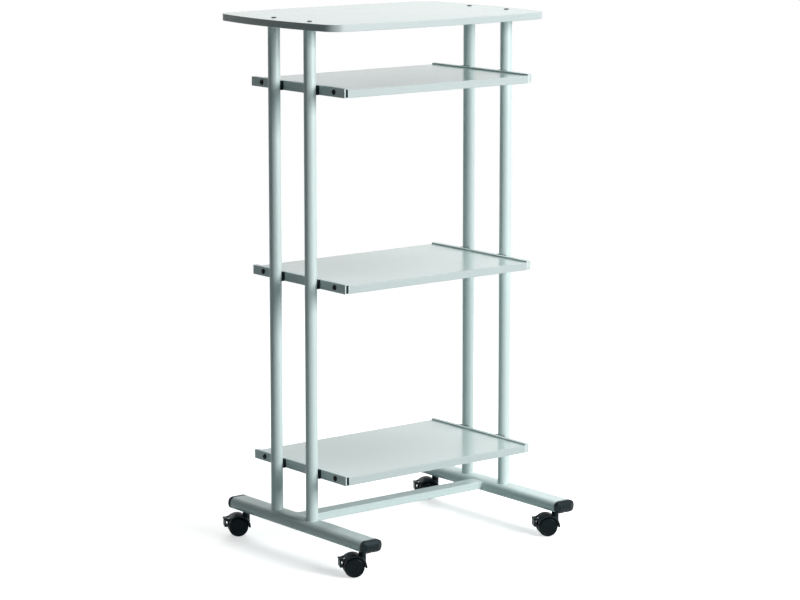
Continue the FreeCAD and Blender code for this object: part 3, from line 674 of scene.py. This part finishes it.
def hood_mesh(sizes):
    """Caster hood in one moulding, with its bores for axle and lever pin."""
    trail, top, pivot_x, pivot_z, axle_z = caster_measures()
    pivot = (pivot_x, pivot_z)
    shapes = [
        fender_mesh(sizes, trail, axle_z),
        neck_mesh(sizes, trail, axle_z, top),
        *web_mesh(sizes, trail, axle_z),
        *[ear_mesh(sizes, trail, axle_z, pivot, hand) for hand in (-1, 1)],
    ]
    whole = melted(joined("caster_hood", shapes), sizes.mould_grid, 3, 26000)
    reach = sizes.lever_half_width + sizes.ear_gap + sizes.ear_thickness + 1 * MM
    bores = [
        rod("axle_bore", sizes.axle_radius, -reach, reach, (trail, axle_z)),
        rod("pin_bore", sizes.pin_radius, -reach, reach, pivot),
    ]
    for bore in bores:
        whole = cut(whole, bore)
    return soften(whole)


def lever_mesh(sizes):
    """Brake lever: ribbed foot pad, strut, brake shoe and its two pins."""
    trail, _, pivot_x, pivot_z, axle_z = caster_measures()
    half = sizes.lever_half_width
    shoe_x = (trail + axle_z + sizes.shoe_gap - pivot_x) / MM
    points = [
        (0.0, 3.2), (9.4, 3.5), (10.8, 2.7), (10.5, 1.3), (8.9, 0.3),
        (8.7, -17.2), (7.4, -18.5), (3.0, -18.5), (shoe_x, -17.6), (shoe_x, -14.8),
        (2.8, -14.2), (3.7, -13.4), (4.4, -2.6), (0.0, -3.2),
    ]
    outline = [(pivot_x + x * MM, pivot_z + z * MM) for x, z in points]
    body = extruded("lever_body", rounded_outline(outline, 0.9 * MM), -half, half)
    barrel = rod("lever_barrel", 3.2 * MM, -half, half, (pivot_x, pivot_z))
    ribs = []
    for step in range(4):
        x = pivot_x + (1.2 + 2.2 * step) * MM
        z = pivot_z + (3.0 + 0.07 * step) * MM
        section = [(0.0, 0.0), (1.1, 0.0), (0.9, 0.95), (0.2, 0.95)]
        outline = [(x + across * MM, z + up * MM) for across, up in section]
        ribs.append(extruded("rib", outline, -half + 1.6 * MM, half - 1.6 * MM))
    whole = melted(joined("brake_lever", [body, barrel, *ribs]), 0.3 * MM, 2, 14000)
    reach = half + sizes.ear_gap + sizes.ear_thickness - 0.2 * MM
    pins = []
    for hand in (-1, 1):
        ends = sorted((hand * (half - 1 * MM), hand * reach))
        pins.append(rod("pin", sizes.pin_radius - 0.05 * MM, *ends, (pivot_x, pivot_z)))
    return soften(joined("brake_lever", [whole, *pins]))


# ---- Foot caps -------------------------------------------------------------------
def cap_face(sizes, x, z):
    """How far the cap's curved front stands out at a point across it."""
    reach = sizes.cap_reach
    barrel = sizes.cap_barrel
    curve = reach - barrel + math.sqrt(max(barrel ** 2 - z ** 2, 0.0))
    half = sizes.foot_width / 2
    slant = reach - sizes.facet_drop * (abs(x) - (half - sizes.facet_width)) / sizes.facet_width
    blend = sizes.facet_round
    overlap = max(blend - abs(curve - slant), 0.0)
    return min(curve, slant) - overlap ** 2 / (4 * blend)


def cap_mesh(sizes, depth):
    """End cap of a foot: hollow insert, flange and curved front with slanted sides."""
    width = sizes.foot_width
    height = sizes.foot_height
    inset = 2 * sizes.foot_wall
    front_rings = 19

    def oval(shrink):
        return flat_oval(width - shrink, height - shrink, 36, 20)

    def ring(shrink, y):
        return [(x, y, z) for x, z in oval(shrink)]

    loops = [
        ring(inset + 2 * sizes.insert_wall, -0.8 * MM),
        ring(inset + 2 * sizes.insert_wall, -depth),
        ring(inset + 0.6 * MM, -depth),
        ring(inset, -depth + 1.5 * MM),
        ring(inset, 0.0),
        ring(0.3 * MM, 0.0),
        ring(0.0, 0.3 * MM),
    ]
    rim = sizes.rim_round
    for share in (0.0, 0.15, 0.35, 0.6, 0.85, 1.0):
        turn = share * math.pi / 2
        sunk = rim * (1 - math.sin(turn))
        edge = oval(2 * rim * (1 - math.cos(turn)))
        loops.append([(x, cap_face(sizes, x, z) - sunk, z) for x, z in edge])
    for step in range(1, front_rings):
        shrink = 2 * rim + (height - 2 * rim) * step / front_rings
        loops.append([(x, cap_face(sizes, x, z), z) for x, z in oval(shrink)])
    return skin("foot_cap", loops)


def foot_cap(sizes, depth):
    """The end cap with its notch at the bottom of the front."""
    cap = cap_mesh(sizes, depth)
    half = sizes.notch_width / 2
    low = -sizes.foot_height / 2
    outline = [
        (-half, low - 1 * MM), (half, low - 1 * MM),
        (half, low + sizes.notch_height), (-half, low + sizes.notch_height),
    ]
    notch = extruded("notch", rounded_outline(outline, 0.5 * MM), 3 * MM, sizes.cap_reach + 1 * MM)
    return soften(cut(cap, notch), 30.0)


# ---- Welds -----------------------------------------------------------------------
def weld_mesh(sizes, side):
    """A fillet weld round the crossbar where it meets a foot."""
    bar_low, bar_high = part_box("crossbar")
    foot_low, foot_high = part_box("foot_" + side)
    hand = SIDES[side]
    foot_x = (foot_low.x + foot_high.x) / 2
    foot_z = (foot_low.z + foot_high.z) / 2
    bend = (foot_high.z - foot_low.z) / 2
    flat = (foot_high.x - foot_low.x) / 2 - bend
    middle_y = (bar_low.y + bar_high.y) / 2
    middle_z = (bar_low.z + bar_high.z) / 2
    half_y = (bar_high.y - bar_low.y) / 2
    half_z = (bar_high.z - bar_low.z) / 2
    box = [(-half_y, -half_z), (half_y, -half_z), (half_y, half_z), (-half_y, half_z)]
    section = divided(rounded_outline(box, sizes.bar_rounding), 1.0 * MM)
    count = len(section)
    bead = sizes.weld_radius
    bead_sides = 8
    ripple_pitch = 1.35
    flatness = 0.7
    loops = []
    for index, (y, z) in enumerate(section):
        before = Vector(section[index - 1])
        after = Vector(section[(index + 1) % count])
        along = (after - before).normalized()
        out = Vector((along.y, -along.x))
        ripple = 1 + sizes.weld_ripple * math.sin(index * ripple_pitch)
        height = middle_z + z
        reach = math.sqrt(max(bend ** 2 - (height - foot_z) ** 2, 0.0))
        wall_x = foot_x - hand * (flat + reach)
        loop = []
        for step in range(bead_sides):
            turn = 2 * math.pi * step / bead_sides
            grow = bead * ripple
            lift = grow * math.cos(turn) * flatness
            loop.append((
                wall_x - hand * (0.35 * bead + grow * math.sin(turn) * flatness),
                middle_y + y + out.x * (0.15 * bead + lift),
                height + out.y * (0.15 * bead + lift),
            ))
        loops.append(loop)
    made = bmesh.new()
    rings = [[made.verts.new(point) for point in loop] for loop in loops]
    for here in range(count):
        lower, upper = rings[here], rings[(here + 1) % count]
        for step in range(bead_sides):
            after = (step + 1) % bead_sides
            made.faces.new((lower[step], lower[after], upper[after], upper[step]))
    return soften(mesh_from("weld_bead_" + side, made), 60.0)


# ---- Properties ------------------------------------------------------------------
def number(name, description, value, **settings):
    return FloatProperty(name=name, description=description, default=value, **settings)


def length(name, description, millimetres):
    return number(name, description, millimetres * MM, unit="LENGTH", precision=5)


def angle(name, description, degrees):
    return number(name, description, math.radians(degrees), subtype="ANGLE")


def colour(name, description, value):
    return FloatVectorProperty(
        name=name, description=description, default=value, subtype="COLOR", size=3, min=0, max=1
    )


class StandSizes(PropertyGroup):
    web_thickness: length("Web thickness", "Plate between the two wheels", 9.6)
    wheel_gap: length("Wheel gap", "Web to wheel", 1.0)
    wheel_reach: length("Wheel reach", "Caster's middle to a wheel's outer face", 22.0)
    face_dish: length("Face dish", "How deep the wheel's disc lies in its rim", 1.0)
    face_radius: length("Disc radius", "Radius of the wheel's disc", 19.4)
    lip_round: length("Lip rounding", "Rounding of the rim's lip", 0.5)
    wheel_skin: length("Wheel wall", "Wall of the hollow wheel", 3.5)
    hub_radius: length("Hub radius", "Radius of the wheel's hub", 8.5)
    axle_radius: length("Axle bore", "Radius of the hole for the axle", 3.05)
    shoulder_radius: length("Shoulder", "Rounding from tread to disc", 6.6)
    fender_inner: length("Mudguard inside", "Inner radius of the mudguard", 26.0)
    fender_edge: length("Mudguard edge", "Outer radius at its side edges", 30.6)
    fender_crown: length("Mudguard crown", "Outer radius at its middle", 31.5)
    fender_half_width: length("Mudguard half width", "Middle to side edge", 21.0)
    fender_front: angle("Mudguard front", "Angle up from straight ahead", -3.0)
    fender_back: angle("Mudguard back", "Angle up from straight ahead", 137.0)
    web_front: angle("Web front", "Angle up from straight ahead", 8.0)
    web_back: angle("Web back", "Angle up from straight ahead", 128.0)
    boss_radius: length("Axle boss", "Radius of the boss round the axle", 7.0)
    neck_radius: length("Neck radius", "Radius of the swivel neck", 9.0)
    ear_radius: length("Ear radius", "Radius of the ears for the lever", 4.2)
    ear_thickness: length("Ear thickness", "Thickness of each ear", 3.0)
    ear_root: angle("Ear root", "Part of the mudguard that each ear stands on", 14.0)
    ear_gap: length("Ear gap", "Ear to lever", 0.4)
    lever_half_width: length("Lever half width", "Half the brake lever's width", 12.2)
    shoe_gap: length("Shoe gap", "Brake shoe to tread", 1.0)
    pin_radius: length("Pin bore", "Radius of the hole for the lever's pin", 1.55)
    mould_grid: length("Mould grid", "Grid that blends the hood's shapes", 0.42)
    foot_width: length("Cap width", "Width of a foot's end cap", 60.8)
    foot_height: length("Cap height", "Height of a foot's end cap", 30.8)
    foot_wall: length("Foot wall", "Cap's rim to its insert", 2.45)
    insert_wall: length("Insert wall", "Wall of the cap's insert", 2.5)
    cap_reach: length("Cap reach", "Tube end to the front of the cap", 14.0)
    cap_barrel: length("Cap curve", "Radius of the front from top to bottom", 26.0)
    facet_width: length("Slant width", "Width of each slanted side face", 14.0)
    facet_drop: length("Slant drop", "How far the slanted faces fall back", 5.0)
    facet_round: length("Slant rounding", "Blend between the front's faces", 0.5)
    rim_round: length("Rim rounding", "Rounding of the cap's rim", 0.9)
    notch_width: length("Notch width", "Notch at the bottom of the cap", 6.0)
    notch_height: length("Notch height", "Notch at the bottom of the cap", 2.5)
    bar_rounding: length("Bar rounding", "Corner rounding of the crossbar", 2.6)
    weld_radius: length("Weld radius", "Half thickness of the weld bead", 1.5)
    weld_ripple: number("Weld ripple", "Unevenness of the bead", 0.12, subtype="FACTOR")


class StandColours(PropertyGroup):
    silver_coat: colour("Silver coat", "Posts, rails, feet and crossbar", (0.59, 0.69, 0.68))
    laminate: colour("Laminate", "Faces of the board and shelves", (0.52, 0.63, 0.615))
    edge_band: colour("Edge band", "Edges of the board and shelves", (0.455, 0.52, 0.515))
    black_plastic: colour("Black plastic", "Casters, caps and plugs", (0.003, 0.0045, 0.005))
    worn_plastic: colour("Worn plastic", "Rubbed edges of black plastic", (0.03, 0.034, 0.035))
    floor_dust: colour("Floor dust", "Dust on the treads", (0.16, 0.16, 0.155))
    grey_plastic: colour("Grey plastic", "Plugs in the right rails", (0.62, 0.66, 0.65))
    black_steel: colour("Black steel", "Rail screws", (0.006, 0.007, 0.008))
    zinc: colour("Zinc", "Plated fasteners and axles", (0.60, 0.62, 0.63))


class StandStage(PropertyGroup):
    azimuth: angle("Azimuth", "Camera's turn round the stand", -38.24)
    elevation: angle("Elevation", "Camera's height above the horizon", 9.43)
    distance: length("Distance", "Camera to the point it aims at", 7094.5)
    focal: number("Focal length", "Focal length of the lens", 127.35, unit="CAMERA")
    aim_right: length("Aim right", "Aim point from the middle, to the camera's right", 15.46)
    aim_up: length("Aim up", "Aim point from the middle, up", 42.76)
    shift: number("Shift", "Upward shift of the lens", -0.05)
    floor_radius: length("Floor radius", "Half the floor's width", 40000.0)
    world_light: number("World light", "Level of the fill from all sides", 0.025)
    key_light: number("Key light", "Level of the front lamp", 1.1)
    top_light: number("Top light", "Level of the lamp overhead", 0.6)
    back_light: number("Back light", "Level of the lamp behind", 0.55)


# ---- Operators -------------------------------------------------------------------
class STAND_OT_finish_frame(Operator):
    """Gives every CAD piece the finish of its material slot"""

    bl_idname = "stand.finish_frame"
    bl_label = "Finish Frame"

    def execute(self, context):
        FINISHES.update(finishes(context.scene.stand_colours))
        for node, slot in slots_by_node().items():
            materials = NODES[node].data.materials
            materials.clear()
            materials.append(FINISHES[slot])
        return {"FINISHED"}


class STAND_OT_add_wheels(Operator):
    """Replaces the caster wheels with turned nylon wheels"""

    bl_idname = "stand.add_wheels"
    bl_label = "Add Wheels"

    def execute(self, context):
        trail, *_, axle_z = caster_measures()
        mesh = wheel_mesh(context.scene.stand_sizes, wheel_radius())
        axle = Matrix.Translation((trail, 0.0, axle_z))
        for corner in CORNERS:
            for name, turn in (("near_wheel", 0.0), ("far_wheel", math.pi)):
                place = caster_place(corner) @ axle @ Matrix.Rotation(turn, 4, "Z")
                node = "caster_" + corner + "_" + name
                add_piece("turned_" + node, mesh, place, node, "wheel_plastic", node)
        return {"FINISHED"}


class STAND_OT_add_hoods(Operator):
    """Replaces the caster hoods with soft-edged mouldings"""

    bl_idname = "stand.add_hoods"
    bl_label = "Add Caster Hoods"

    def execute(self, context):
        mesh = hood_mesh(context.scene.stand_sizes)
        for corner in CORNERS:
            body = "caster_" + corner
            node = body + "_hood"
            place = caster_place(corner)
            add_piece("moulded_" + node, mesh, place, body, "black_plastic", node)
        return {"FINISHED"}


class STAND_OT_add_levers(Operator):
    """Replaces the brake levers with ribbed mouldings"""

    bl_idname = "stand.add_levers"
    bl_label = "Add Brake Levers"

    def execute(self, context):
        mesh = lever_mesh(context.scene.stand_sizes)
        for corner in CORNERS:
            body = "caster_" + corner + "_brake"
            node = body + "_lever"
            place = caster_place(corner)
            add_piece("moulded_" + node, mesh, place, body, "black_plastic", node)
        return {"FINISHED"}


class STAND_OT_add_foot_caps(Operator):
    """Replaces the feet's end caps with rounded mouldings"""

    bl_idname = "stand.add_foot_caps"
    bl_label = "Add Foot Caps"

    def execute(self, context):
        sizes = context.scene.stand_sizes
        low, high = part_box("foot_cap_front_left")
        mesh = foot_cap(sizes, high.y - low.y - sizes.cap_reach)
        for corner in CORNERS:
            end, side = corner.split("_")
            node = "foot_cap_" + corner
            low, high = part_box(node)
            tube_low, tube_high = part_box("foot_" + side)
            end_y = tube_low.y if end == "front" else tube_high.y
            turn = math.pi if end == "front" else 0.0
            middle = (low + high) / 2
            place = Matrix.Translation((middle.x, end_y, middle.z)) @ Matrix.Rotation(turn, 4, "Z")
            add_piece("moulded_" + node, mesh, place, "stand", "black_plastic", node)
        return {"FINISHED"}


class STAND_OT_add_welds(Operator):
    """Adds the weld beads between the crossbar and the feet"""

    bl_idname = "stand.add_welds"
    bl_label = "Add Welds"

    def execute(self, context):
        for side in SIDES:
            mesh = weld_mesh(context.scene.stand_sizes, side)
            add_piece(mesh.name, mesh, Matrix.Identity(4), "stand", "silver_steel")
        return {"FINISHED"}


def floor_finish():
    """White floor that keeps the stand's shadow and fades out with distance."""
    paint = Paint(bpy.data.materials.new("studio_floor"))
    shown = paint.shown()
    across = paint.part_of("X")
    along = paint.part_of("Y")
    distance = (across * across + along * along) ** 0.5
    tone = paint.colours(shown, (0.27, 0.37, 0.38, 1.0), (0.8, 0.81, 0.81, 1.0))
    matt = paint.add("ShaderNodeBsdfDiffuse", None, {"Color": tone})
    glow = paint.add("ShaderNodeEmission", None, {"Strength": shown * 0.62})
    near = paint.add("ShaderNodeAddShader", None, {0: matt, 1: glow})
    white = paint.add("ShaderNodeEmission", None, {"Strength": shown})
    far = distance.ramp(1.5, 4.0)
    return paint.end(paint.add("ShaderNodeMixShader", None, {0: far, 1: near, 2: white}))


def studio_world(level):
    """White where it shows, and a dimmer fill for everything else."""
    world = bpy.data.worlds.new("studio")
    paint = Paint(world, "ShaderNodeOutputWorld")
    shown = paint.shown()
    tone = paint.colours(shown, (0.65, 1.0, 1.0, 1.0), (1.0, 1.0, 1.0, 1.0))
    strength = shown * (1 - level) + level
    paint.end(paint.add("ShaderNodeBackground", None, {"Color": tone, "Strength": strength}))
    bpy.context.scene.world = world


def direction(turn, rise):
    """Unit vector from the stand; no turn is the front and a quarter turn the right."""
    return Vector((
        math.sin(turn) * math.cos(rise), -math.cos(turn) * math.cos(rise), math.sin(rise)
    ))


def soft_lamp(name, aim, toward, distance, size, level, glossy):
    """A square lamp; at level 1 a surface that faces it shows its own colour."""
    lamp = bpy.data.lights.new(name, "AREA")
    lamp.size = size
    lamp.energy = level * (math.pi * distance) ** 2
    piece = bpy.data.objects.new(name, lamp)
    bpy.context.scene.collection.objects.link(piece)
    piece.location = aim + toward * distance
    piece.rotation_euler = toward.to_track_quat("Z", "Y").to_euler()
    piece.visible_glossy = glossy


class STAND_OT_set_stage(Operator):
    """Adds the floor, the soft lamps and the camera"""

    bl_idname = "stand.set_stage"
    bl_label = "Set Stage"

    def execute(self, context):
        stage = context.scene.stand_stage
        context.scene.view_settings.view_transform = "Standard"
        self.add_floor(stage)
        studio_world(stage.world_light)
        middle = (CAD_BOX[0] + CAD_BOX[1]) / 2
        for name, azimuth, elevation, distance, size, level, glossy in (
            ("key_lamp", 15.0, 17.0, 5.2, 2.2, stage.key_light, True),
            ("top_lamp", 75.0, 64.0, 3.8, 2.4, stage.top_light, True),
            ("back_lamp", 150.0, 28.0, 5.2, 3.0, stage.back_light, False),
        ):
            toward = direction(math.radians(azimuth), math.radians(elevation))
            soft_lamp(name, middle, toward, distance, size, level, glossy)
        self.add_camera(context.scene, stage, middle)
        return {"FINISHED"}

    def add_floor(self, stage):
        made = bmesh.new()
        bmesh.ops.create_circle(made, cap_ends=True, segments=96, radius=stage.floor_radius)
        floor = bpy.data.objects.new("studio_floor", mesh_from("studio_floor", made))
        bpy.context.scene.collection.objects.link(floor)
        floor.data.materials.append(floor_finish())

    def add_camera(self, scene, stage, middle):
        back = direction(stage.azimuth, stage.elevation)
        right = direction(stage.azimuth + math.pi / 2, 0.0)
        upward = back.cross(right)
        aim = middle + right * stage.aim_right + upward * stage.aim_up
        lens = bpy.data.cameras.new("camera")
        lens.lens = stage.focal
        lens.shift_y = stage.shift
        lens.clip_end = 100.0
        camera = bpy.data.objects.new("camera", lens)
        scene.collection.objects.link(camera)
        camera.location = aim + back * stage.distance
        camera.rotation_euler = (-back).to_track_quat("-Z", "Y").to_euler()
        scene.camera = camera


class STAND_PT_sidebar(Panel):
    """Buttons for the stand's finishes and parts"""

    bl_idname = "STAND_PT_sidebar"
    bl_label = "Printer Stand"
    bl_space_type = "VIEW_3D"
    bl_region_type = "UI"
    bl_category = "Stand"

    def draw(self, context):
        for step in STEPS:
            self.layout.operator(step.bl_idname)
        for group_name in GROUPS:
            group = getattr(context.scene, group_name)
            column = self.layout.column()
            for name in group.__annotations__:
                column.prop(group, name)


STEPS = (
    STAND_OT_finish_frame,
    STAND_OT_add_wheels,
    STAND_OT_add_hoods,
    STAND_OT_add_levers,
    STAND_OT_add_foot_caps,
    STAND_OT_add_welds,
    STAND_OT_set_stage,
)
GROUPS = {"stand_sizes": StandSizes, "stand_colours": StandColours, "stand_stage": StandStage}


def register():
    for cls in (*GROUPS.values(), *STEPS, STAND_PT_sidebar):
        bpy.utils.register_class(cls)
    for name, group in GROUPS.items():
        setattr(bpy.types.Scene, name, PointerProperty(type=group))


def unregister():
    for name in GROUPS:
        delattr(bpy.types.Scene, name)
    for cls in reversed((*GROUPS.values(), *STEPS, STAND_PT_sidebar)):
        bpy.utils.unregister_class(cls)


def main():
    register()
    for step in STEPS:
        group, name = step.bl_idname.split(".")
        getattr(getattr(bpy.ops, group), name)()


if __name__ == "__main__":
    main()
